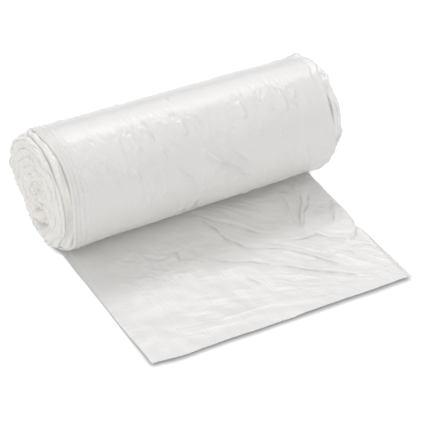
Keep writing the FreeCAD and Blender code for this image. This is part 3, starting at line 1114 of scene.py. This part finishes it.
@dataclass
class EndTurns:
    """Half of the roll's earlier turns, out to one end: a gathered round with a spiral face.

    Lengths are in millimetres, the eye is its half length and half width, and an arc is its middle
    and half its width in degrees. A gather's sway is a share of the way to the next one.
    """

    sizes: RollSizes
    film: FilmFinish
    seed: int
    end: RollEnd = RollEnd.RIGHT
    gathers: int = 10
    shoulder: float = 3.6
    slack: float = 0.5
    pitch: float = 4.7
    turn_height: float = 0.8
    crumple_height: float = 0.7
    dish: float = 2.2
    eye: Pair = (3.2, 0.9)
    eye_depth: float = 5.0
    columns: int = 420
    face_rows: int = 110
    shoulder_rows: int = 24
    side_rows: int = 50
    side_reach: float = 18.0
    gather_sway: float = 0.22
    sway_step: float = 2.3
    gap_shade: float = 0.32
    # How much the drawn arc's folds are smoothed, which also sets the painted shade of that low side.
    drawn_smooth: float = 0.75
    drawn_arc: Pair = (296.0, 34.0)
    round_places: float = 30.0

    def build(self) -> bpy.types.Object:
        """Makes the end's mesh: the face's relief, the gathered shoulder and the side.

        Returns:
            The piece.
        """
        angle = np.linspace(0.0, TAU, self.columns, endpoint=False)
        face, turn, side = self._section()
        rows = len(face)
        face, angle_grid = np.meshgrid(face, angle, indexing="ij")
        turn = np.repeat(turn[:, None], self.columns, axis=1)
        side = np.repeat(side[:, None], self.columns, axis=1)
        drop, depth = self._shoulder_size(angle_grid)
        out = self.dish * (1.0 - smooth_step(0.1, 1.0, face)) + depth * (1.0 - np.cos(turn))
        out = out + side * (self.side_reach - depth)
        full = self._rim_radius(out, angle_grid)
        rim = full * self._pressed(out, angle_grid)
        radius = face * (rim - drop) + drop * np.sin(turn)
        line = face * (rim - drop) + 0.5 * (drop + depth) * turn + side * (self.side_reach - depth)
        shade = self._shade(face, out, radius, line, angle_grid)
        relief = self._face_relief(radius, line, full, angle_grid) * smooth_step(7.0, 3.5, out)
        radius = radius + self._side_relief(out, angle_grid) * smooth_step(0.3, 0.9, face)
        radius = radius + 0.6 * relief * np.sin(turn)
        out = out - relief * np.cos(turn)
        out = out + self._tip_shift(radius / full, angle_grid) * (1.0 - smooth_step(2.0, 9.0, out))
        out[rows - 1] = self._tip()
        along = self.end.value * (self._tip() - out)
        # The side stays above the web within its width, and above the floor past it.
        half_width = self.sizes.half_width
        low = 0.15 + 1.1 * smooth_step(half_width + 1.0, half_width, np.abs(along))
        height = np.maximum(self.sizes.axis_height(along) - radius * np.cos(angle_grid), low)
        points = np.stack([along, radius * np.sin(angle_grid), height], axis=-1).reshape(-1, 3)
        turned = self.end is RollEnd.RIGHT
        points, faces = closed_round(points, rows, self.columns, turned)
        name = f"{self.end.name.lower()}_end_turns"
        places = (out + radius, self.round_places * angle_grid)
        return film_object(name, points, faces, self.film, places, shade)

    def _shade(self, face: Array, out: Array, radius: Array, line: Array, angle: Array) -> Array:
        """The painted shade of the end's grooves, gaps and low side: the greatest of what the parts of
        the end say.

        Args:
            face: Shares of the face, from the axis out.
            out: Distances in from the tip.
            radius: Radii of the points.
            line: Lengths from the axis along the section.
            angle: Angles round the roll.

        Returns:
            The shade, from 0 to 1.
        """
        groove = self._groove_shade(out, angle) * smooth_step(0.9, 1.0, face)
        on_face = smooth_step(0.10, 0.25, face) * smooth_step(3.2, 2.2, out)
        gaps = self._face_shade(radius, line, angle) * on_face
        side = self._side_shade(out, angle) * smooth_step(0.6, 1.0, face)
        return np.maximum(np.maximum(groove, gaps), side)

    def _groove_shade(self, out: Array, angle: Array) -> Array:
        """Painted shade in the tight groove by the last turn's rim."""
        edge = self._wrap_edge() - 0.5
        return 0.8 * bump(edge, 1.0, out) * arc_window(angle, 205.0, 45.0)

    def _section(self) -> tuple[Array, Array, Array]:
        """The line that is carried round: the face from near the axis, the shoulder and the side.

        Returns:
            Each point's share of the face, its angle on the shoulder, and its share of the side.
        """
        face = np.linspace(0.012, 1.0, self.face_rows)
        turn = np.linspace(0.0, math.pi / 2.0, self.shoulder_rows)[1:]
        side = np.linspace(0.0, 1.0, self.side_rows)[1:]
        tail = len(turn) + len(side) + 1
        face_line = np.concatenate([face, np.ones(tail)])
        turn_line = np.concatenate([np.zeros(len(face)), turn, np.full(len(side) + 1, math.pi / 2.0)])
        side_line = np.concatenate([np.zeros(len(face) + len(turn)), side, [1.0]])
        return face_line, turn_line, side_line

    def _tip(self) -> float:
        """How far out the end reaches along X."""
        return self.sizes.left_tip if self.end is RollEnd.LEFT else self.sizes.right_tip

    def _wrap_edge(self) -> float:
        """How far in from the tip the last turn's rim is."""
        at_left = self.end is RollEnd.LEFT
        return self._tip() - (self.sizes.half_width if at_left else self.sizes.wrap_right)

    def _rim_radius(self, out: Array, angle: Array) -> Array:
        """The round's full radius: the roll's, less the last turn, some slack and a groove by its rim.

        Args:
            out: Distances in from the tip.
            angle: Angles round the roll.

        Returns:
            The radius at each place.
        """
        across = self.end.value * (self._tip() - out)
        rim_groove = 1.4 * bump(self._wrap_edge() - 0.7, 1.1, out) * arc_window(angle, 200.0, 45.0)
        return self.sizes.radius(across) - self.sizes.web - self.slack - rim_groove

    def _shoulder_size(self, angle: Array) -> tuple[Array, Array]:
        """How far the shoulder rounds in from the rim, and how far back from the tip it starts."""
        drop = self.shoulder - 1.7 * arc_window(angle, 180.0, 70.0)
        return drop, np.full_like(angle, self.shoulder)

    def _tip_shift(self, share: Array, angle: Array) -> Array:
        """How far the face is drawn back from the tip.

        The half that looks away is drawn back by 2 to 5 mm, and the top is pushed out a little.

        Args:
            share: Shares of the full radius.
            angle: Angles round the roll.

        Returns:
            The distance at each place, in millimetres.
        """
        away = 1.0 - smooth_step(-0.6, 0.45, np.cos(angle - math.radians(214.0)))
        outer = smooth_step(0.1, 0.9, share)
        return away * (2.0 + 3.0 * outer) - 1.8 * arc_window(angle, 170.0, 30.0) * outer

    def _pressed(self, out: Array, angle: Array) -> Array:
        """The flats between the gathers: cos(half the gap) / cos(angle from the flat's middle).

        Args:
            out: Distances in from the tip.
            angle: Angles round the roll.

        Returns:
            The share of the full radius that is left at each place.
        """
        index = np.arange(self.gathers)
        index = index + self.gather_sway * np.sin(self.sway_step * index)
        corners = np.sort((TAU / self.gathers * index + 0.25 * TAU) % TAU)
        gap = np.diff(np.append(corners, corners[0] + TAU))
        turned = (angle - corners[0]) % TAU + corners[0]
        flat = np.clip(np.searchsorted(corners, turned, side="right") - 1, 0, self.gathers - 1)
        middle = corners[flat] + gap[flat] / 2.0
        chord = np.cos(gap[flat] / 2.0) / np.cos(turned - middle)
        edge = self._wrap_edge()
        free = 1.0 - smooth_step(edge - 2.0, edge + 1.5, out)
        return 1.0 - free * (1.0 - chord)

    def _side_relief(self, out: Array, angle: Array) -> Array:
        """Folds of the protruding film: lines along the rim, and gathers that run in over it.

        They are lower on the arc where the film is drawn smooth.

        Args:
            out: Distances in from the tip.
            angle: Angles round the roll.

        Returns:
            Heights above the plain side, in millimetres.
        """
        edge = self._wrap_edge()
        turns = angle / TAU
        free = 1.0 - smooth_step(edge - 0.8, edge + 0.4, out)
        free = free * (1.0 - self.drawn_smooth * arc_window(angle, *self.drawn_arc))
        folds = Crumple(self.seed).crests(26 * turns, out / 6.5, 2.2, 26)
        lines = Crumple(self.seed + 1).crests(11 * turns, out / 1.9, 2.0, 11)
        waves = Crumple(self.seed + 2).smooth(13 * turns, out / 7.0, 13)
        return free * (0.4 * folds + 0.3 * lines + 0.45 * waves - 0.25)

    def _side_shade(self, out: Array, angle: Array) -> Array:
        """Painted shade on the low front arc where the film is drawn smooth, darkest by the tip."""
        turned_in = arc_window(angle, *self.drawn_arc) * smooth_step(8.5, 2.0, out)
        return 0.5 * self.drawn_smooth * turned_in

    def _spiral(self, depth: Array, rise: Array, line: Array, angle: Array) -> Array:
        """The turns counted out from the axis, bent a little by slow noise.

        Args:
            depth: Places along Y from the axis.
            rise: Places along Z from the axis.
            line: Lengths from the axis along the section.
            angle: Angles round the roll.

        Returns:
            The number of turns: a film edge lies half way between whole numbers.
        """
        bend = Crumple(self.seed + 3)
        warp = 1.2 * bend.smooth(depth / 13.0 + 40.0, rise / 13.0 + 40.0)
        warp = warp + 0.4 * bend.smooth(depth / 5.0 + 90.0, rise / 5.0 + 90.0)
        return (line + warp) / self.pitch - angle / TAU

    def _face_shade(self, radius: Array, line: Array, angle: Array) -> Array:
        """Painted shade in the gap between two turns.

        Args:
            radius: Radii of the points.
            line: Lengths from the axis along the section.
            angle: Angles round the roll.

        Returns:
            The shade, from 0 to 1.
        """
        depth, rise = radius * np.sin(angle), -radius * np.cos(angle)
        phase = self._spiral(depth, rise, line, angle)
        between = smooth_step(0.55, 0.0, np.abs(np.sin(math.pi * phase)))
        uneven = Crumple(self.seed + 7).smooth(depth / 9.0 + 50.0, rise / 9.0 + 50.0)
        return self.gap_shade * between * (0.35 + 0.65 * smooth_step(-0.4, 0.4, uneven))

    def _face_relief(self, radius: Array, line: Array, full: Array, angle: Array) -> Array:
        """The spiral of film edges: humps of sqrt|sin|, three fine ones a turn, and crumpled film.

        Args:
            radius: Radii of the points.
            line: Lengths from the axis along the section.
            full: The full radius at each point.
            angle: Angles round the roll.

        Returns:
            Heights outwards, in millimetres.
        """
        depth, rise = radius * np.sin(angle), -radius * np.cos(angle)
        phase = self._spiral(depth, rise, line, angle)
        hump = np.sqrt(np.abs(np.sin(math.pi * phase)) + 0.01)
        fine = np.sqrt(np.abs(np.sin(3.0 * math.pi * phase)) + 0.01)
        level = Crumple(self.seed + 4)
        edge = level.smooth(radius / 9.0 + 60.0, angle / TAU * 9.0)
        pressed = smooth_step(-0.1, 0.5, level.smooth(depth / 11.0 + 20.0, rise / 8.0 + 20.0))
        crests = Crumple(self.seed + 5).crests(depth / 7.0 + 30.0, rise / 9.0 + 30.0, 2.4)
        small = Crumple(self.seed + 6).crests(depth / 4.2 + 10.0, rise / 5.0 + 10.0, 2.4)
        outer = 0.6 + 0.9 * smooth_step(0.6, 0.85, line / full)
        turns = (hump + 0.6 * fine - 1.2) * (0.45 + 0.55 * pressed) * outer
        crumples = crests * (1.0 - 0.5 * pressed) + 0.35 * small + 0.6 * edge
        relief = self.turn_height * turns + self.crumple_height * crumples
        relief = relief + self._face_folds(depth, rise + self.sizes.radius_left)
        inside_eye = np.hypot(depth / self.eye[0], rise / self.eye[1])
        return relief - self.eye_depth * (1.0 - smooth_step(0.6, 1.3, inside_eye))

    def _face_folds(self, depth: Array, height: Array) -> Array:
        """Single folds of the face: none by default."""
        return np.zeros_like(depth)


@dataclass
class LeftTurns(EndTurns):
    """The left end: an inner ring in front of an outer one, a pinched tip and folded lobes.

    A fold's points are places along Y, and heights over the floor.
    """

    end: RollEnd = RollEnd.LEFT
    gathers: int = 15
    turn_height: float = 0.7
    crumple_height: float = 1.7
    dish: float = 0.8
    columns: int = 500
    side_rows: int = 60
    side_reach: float = 17.0
    groove_out: float = 2.8
    pinch_height: float = 2.4
    gap_shade: float = 0.34
    fold_shade: float = 0.35
    drawn_smooth: float = 0.0
    folds: tuple[Crease, ...] = (
        Crease(((1.3, 49.8), (-3.6, 47.6), (-7.5, 45.8)), 2.2, 1.5, 0.4, 1.6),
        Crease(((-1.3, 31.9), (-5.9, 38.2), (-7.7, 36.2), (-12.6, 35.0)), 2.6, 1.5, 0.4, 1.6),
        Crease(((-2.9, 41.4), (-2.9, 38.2)), -2.2, 2.4, 0.0, 2.0),
        Crease(((-6.4, 34.6), (-6.4, 32.0)), -2.0, 1.8, 0.0, 2.0),
        Crease(((-1.7, 27.0), (-1.7, 24.2)), -1.8, 1.8, 0.0, 2.0),
        Crease(((0.7, 21.1), (-4.6, 23.7), (-9.8, 23.8)), 3.6, 2.1, 0.3, 2.0),
        Crease(((4.4, 14.8), (-1.9, 16.2), (-12.6, 21.3)), -2.2, 1.3, 0.6, 1.4),
        Crease(((-6.1, 15.7), (-12.3, 17.8), (-20.4, 18.9)), 3.6, 1.8, 0.3, 2.0),
        Crease(((-8.9, 12.6), (-16.1, 14.8)), -1.8, 1.1, 0.4, 1.4),
        Crease(((-12.8, 12.0), (-18.0, 12.8)), 2.0, 1.2, 0.0, 2.0),
        Crease(((-21.2, 15.6), (-26.3, 17.4), (-28.6, 21.2)), 1.9, 1.2, 0.4, 1.6),
        Crease(((6.2, 55.0), (6.2, 51.6)), 1.2, 1.2, 0.0, 1.6),
        Crease(((2.7, 53.4), (2.7, 50.2)), 1.2, 1.1, 0.0, 1.6),
        Crease(((5.1, 43.4), (5.1, 40.2)), 1.1, 1.2, 0.0, 1.6),
        Crease(((9.0, 38.0), (5.0, 31.0), (6.5, 24.0)), 0.7, 2.6, 0.0, 2.0),
        Crease(((-13.0, 44.0), (-15.5, 36.0), (-14.0, 28.0)), 0.8, 2.2, 0.0, 2.0),
    )

    def _rim_radius(self, out: Array, angle: Array) -> Array:
        """The radius under the last turn, the outer ring, a groove and the inner ring.

        The outer ring lies close under the last turn's rim above, and drops away from it below.

        Args:
            out: Distances in from the tip.
            angle: Angles round the roll.

        Returns:
            The radius at each place.
        """
        across = self.end.value * (self._tip() - out)
        edge = self._wrap_edge()
        groove = self.groove_out
        above = smooth_step(-0.1, 0.5, np.cos(angle - math.radians(150.0)))
        below = 1.0 - above
        outer_ring = 0.75 + 2.5 * below - 0.6 * bump(5.2, 1.8, out) * above
        inner_ring = 1.45 + 0.6 * below
        inset = inner_ring + (outer_ring - inner_ring) * smooth_step(groove, groove + 0.7, out)
        inset = inset + (0.4 + 1.0 * above) * bump(groove, 0.8, out)
        # The ring rises to the last turn's rim, and lies just under it from there.
        inset = inset + (0.9 - inset) * smooth_step(edge - 2.2 * below - 0.3, edge + 0.3, out)
        inset = inset + 0.4 * smooth_step(edge + 0.3, edge + 1.1, out)
        return self.sizes.radius(across) - inset

    def _shoulder_size(self, angle: Array) -> tuple[Array, Array]:
        """The shoulder is narrow on the upper back arc, and wide where the film is drawn in.

        Args:
            angle: Angles round the roll.

        Returns:
            How far the shoulder rounds in from the rim, and how far back from the tip it starts.
        """
        degrees = np.degrees(angle)
        turned = np.abs((degrees - 138.0 + 180.0) % 360.0 - 180.0)
        drop = 1.6 + 9.0 * smooth_step(30.0, 85.0, turned) - 5.0 * bump(322.0, 28.0, degrees)
        depth = self.shoulder + 4.5 * arc_window(angle, 0.0, 60.0)
        return drop, depth

    def _tip_shift(self, share: Array, angle: Array) -> Array:
        """The rim bulges on its upper back arc, ends there in a sharp step and stands back below.

        Args:
            share: Shares of the full radius.
            angle: Angles round the roll.

        Returns:
            How far the face is drawn back at each place, in millimetres.
        """
        degrees = np.degrees(angle)
        past_step = smooth_step(88.6, 89.4, degrees)
        bulge = -0.5 * past_step * (1.0 - smooth_step(130.0, 148.0, degrees))
        hollow = smooth_step(128.0, 146.0, degrees) * (1.0 - smooth_step(150.0, 170.0, degrees))
        back = 0.8 * (1.0 - past_step) + 0.8 * smooth_step(300.0, 350.0, degrees)
        return (bulge + 1.2 * hollow + back) * smooth_step(0.55, 0.85, share)

    def _groove_shade(self, out: Array, angle: Array) -> Array:
        """Painted shade in the groove between the two rings and under the last turn's rim."""
        under_rim = bump(self._wrap_edge() - 0.3, 0.9, out) * arc_window(angle, 255.0, 60.0)
        return 0.5 * bump(self.groove_out, 0.7, out) + 0.7 * under_rim

    def _side_relief(self, out: Array, angle: Array) -> Array:
        """Adds the pinched tip of a fold at the top to the side's folds."""
        pinch = bump(152.0, 4.5, np.degrees(angle)) * bump(4.2, 3.0, out)
        return super()._side_relief(out, angle) * 0.5 + self.pinch_height * pinch

    def _face_folds(self, depth: Array, height: Array) -> Array:
        """The folds that show on the left face."""
        return local_relief(self.folds, depth, height)

    def _face_shade(self, radius: Array, line: Array, angle: Array) -> Array:
        """Adds the painted shade of the gaps between the face's folds to that of the gaps between its
        turns.

        Args:
            radius: Radii of the points.
            line: Lengths from the axis along the section.
            angle: Angles round the roll.

        Returns:
            The shade, from 0 to 1.
        """
        depth = radius * np.sin(angle)
        height = self.sizes.radius_left - radius * np.cos(angle)
        gaps = [
            replace(fold, height=1.0, half_width=0.7 * fold.half_width, step=0.0)
            for fold in self.folds
            if fold.height < 0.0
        ]
        folds = self.fold_shade * np.clip(local_relief(gaps, depth, height), 0.0, 1.0)
        return np.maximum(super()._face_shade(radius, line, angle), folds)


# Stage

def seen_rays(tree: NodeTree, mirrored: float) -> bpy.types.NodeSocket:
    """Marks the rays that show a surface: from the camera, through a clear part or in a gloss.

    Args:
        tree: The tree to add to.
        mirrored: How far a ray in a gloss counts as one of them.

    Returns:
        The socket: 1 for such a ray, 0 for one that only carries light.
    """
    path = tree.add("LightPath")
    total = path.outputs["Is Camera Ray"]
    for name, weight in (("Is Glossy Ray", mirrored), ("Is Transmission Ray", 1.0)):
        share = tree.add("Math")
        share.operation = "MULTIPLY"
        share.inputs[1].default_value = weight
        tree.join(path.outputs[name], share.inputs[0])
        either = tree.add("Math")
        either.operation = "MAXIMUM"
        tree.join(total, either.inputs[0])
        tree.join(share.outputs["Value"], either.inputs[1])
        total = either.outputs["Value"]
    return total


def show_apart(
    tree: NodeTree, output: bpy.types.Node, unseen: bpy.types.Node, seen: bpy.types.Node,
    mirrored: float = 1.0,
) -> None:
    """Ends a tree in one shader for the rays that show a surface, and another for the rest.

    Args:
        tree: The tree.
        output: Its output.
        unseen: The shader for the rays that only carry light.
        seen: The shader for the rays that show the surface.
        mirrored: How far a ray in a gloss counts as showing it.
    """
    mix = tree.add("MixShader")
    tree.join(seen_rays(tree, mirrored), mix.inputs["Fac"])
    tree.join(unseen.outputs[0], mix.inputs[1])
    tree.join(seen.outputs[0], mix.inputs[2])
    tree.join(mix.outputs[0], output.inputs["Surface"])


@dataclass(frozen=True)
class SweepFinish:
    """A pale studio floor: white to the camera, with a painted contact shadow where the object touches
    it.
    """

    albedo: float = 0.92
    shown_albedo: float = 0.08
    glow: float = 1.05
    contact: float = 0.96
    contact_reach: float = 0.0035

    def material(self) -> bpy.types.Material:
        """Builds the floor's material.

        Returns:
            The material.
        """
        made = bpy.data.materials.new("sweep")
        tree = NodeTree(made)
        unseen = tree.add("BsdfDiffuse", Color=(self.albedo,) * 3 + (1.0,))
        show_apart(tree, tree.add("OutputMaterial"), unseen, self._shown(tree))
        return made

    def _shown(self, tree: NodeTree) -> bpy.types.Node:
        """The floor as the camera sees it: a faint diffuse shadow, and a glow that dies at contact as
        a painted contact shadow.

        The glow is its strength times (1 - contact + contact * openness within the reach).

        Args:
            tree: The material's tree.

        Returns:
            The shader's last node.
        """
        shadow = tree.add("BsdfDiffuse", Color=(self.shown_albedo,) * 3 + (1.0,))
        openness = tree.add("AmbientOcclusion", Distance=self.contact_reach)
        openness.samples = 8
        strength = tree.add("MapRange", To_Min=self.glow * (1.0 - self.contact), To_Max=self.glow)
        glow = tree.add("Emission")
        both = tree.add("AddShader")
        tree.join(openness.outputs["AO"], strength.inputs["Value"])
        tree.join(strength.outputs["Result"], glow.inputs["Strength"])
        tree.join(shadow.outputs[0], both.inputs[0])
        tree.join(glow.outputs[0], both.inputs[1])
        return both


@dataclass(frozen=True)
class Lamp:
    """A flat lamp that faces the roll: its power, its length and width, and its place in metres."""

    name: str
    energy: float
    size: Pair
    place: Triple
    aim: Triple = (0.0, -0.02, 0.03)
    sheen_only: bool = False

    def hang(self) -> None:
        """Adds the lamp to the scene."""
        data = bpy.data.lights.new(self.name, "AREA")
        data.shape = "RECTANGLE"
        data.size, data.size_y = self.size
        data.energy = self.energy
        lamp = place_object(self.name, data)
        lamp.location = self.place
        way = Vector(self.aim) - Vector(self.place)
        lamp.rotation_euler = way.to_track_quat("-Z", "Y").to_euler()
        lamp.visible_diffuse = not self.sheen_only


@dataclass
class Studio:
    """The floor, the soft light and the camera."""

    finish: SweepFinish = field(default_factory=SweepFinish)
    floor_half: float = 3.0
    world_front: float = 1.12
    world_back: float = 0.30
    front_edge: float = -0.3
    back_edge: float = 0.8
    mirrored: float = 0.15
    lamps: tuple[Lamp, ...] = (
        Lamp("softbox", 3.1, (1.2, 0.35), (-0.05, 0.58, 1.05)),
        Lamp("strip", 2.3, (0.9, 0.12), (0.40, 0.58, 1.05)),
        Lamp("panel", 3.6, (1.0, 0.8), (0.42, 0.88, 0.78), sheen_only=True),
    )
    camera_place: Triple = (-0.5749, -1.1115, 0.9498)
    camera_yaw: float = 28.18
    camera_pitch: float = 37.43
    lens: float = 246.5
    sensor: float = 36.0

    def build(self) -> None:
        """Sets up the stage."""
        self._floor()
        self._world()
        for lamp in self.lamps:
            lamp.hang()
        self._camera()
        bpy.context.scene.view_settings.view_transform = "Standard"

    def _floor(self) -> None:
        """Lays a plain floor at the object's resting height."""
        half = self.floor_half
        mesh = bpy.data.meshes.new("floor")
        corners = [(-half, -half, 0.0), (half, -half, 0.0), (half, half, 0.0), (-half, half, 0.0)]
        mesh.from_pydata(corners, [], [(0, 1, 2, 3)])
        floor = place_object("floor", mesh)
        floor.data.materials.append(self.finish.material())

    def _world(self) -> None:
        """Lights the stage softly, a little less from behind, and shows white to the camera."""
        world = bpy.data.worlds.new("studio")
        bpy.context.scene.world = world
        tree = NodeTree(world)
        way = tree.add("TexCoord")
        behind = tree.add("VectorMath")
        behind.operation = "DOT_PRODUCT"
        yaw = math.radians(self.camera_yaw)
        behind.inputs[1].default_value = (math.sin(yaw), math.cos(yaw), 0.0)
        tree.join(way.outputs["Generated"], behind.inputs[0])
        level = tree.add(
            "MapRange",
            From_Min=self.front_edge,
            From_Max=self.back_edge,
            To_Min=self.world_front,
            To_Max=self.world_back,
        )
        tree.join(behind.outputs["Value"], level.inputs["Value"])
        lit = tree.add("Background")
        tree.join(level.outputs["Result"], lit.inputs["Strength"])
        shown = tree.add("Background")
        show_apart(tree, tree.add("OutputWorld"), lit, shown, self.mirrored)

    def _camera(self) -> None:
        """Stands the camera where the photograph's perspective puts it."""
        data = bpy.data.cameras.new("camera")
        data.lens = self.lens
        data.sensor_width = self.sensor
        camera = place_object("camera", data)
        camera.location = self.camera_place
        tilt = math.radians(90.0 - self.camera_pitch)
        camera.rotation_euler = (tilt, 0.0, -math.radians(self.camera_yaw))
        bpy.context.scene.camera = camera


def main() -> None:
    """Builds the roll's pieces in order, then the stage."""
    logging.basicConfig(level=logging.INFO)
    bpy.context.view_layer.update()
    sizes = RollSizes.from_frame()
    film = FilmFinish("white_film")
    # The left end's film: a lighter copy of the film, painted light on the end's face, and a little
    # warmer.
    edges = FilmFinish(
        "film_edges_painted_light", colour=(0.92, 0.895, 0.86), tint=(0.94, 0.915, 0.88), scatter=0.15,
    )
    # The right end's film: a lighter copy of the film, painted light that stands in for its bright
    # facets' sheen.
    painted_light_film = FilmFinish(
        "thin_film_painted_light", colour=(0.92, 0.908, 0.89), tint=(0.94, 0.93, 0.915), scatter=0.15,
    )
    LastTurn(sizes, film).build()
    Tongue(sizes, film).build()
    LeftTurns(sizes, edges, seed=51).build()
    EndTurns(sizes, painted_light_film, seed=71).build()
    Studio().build()


if __name__ == "__main__":
    main()
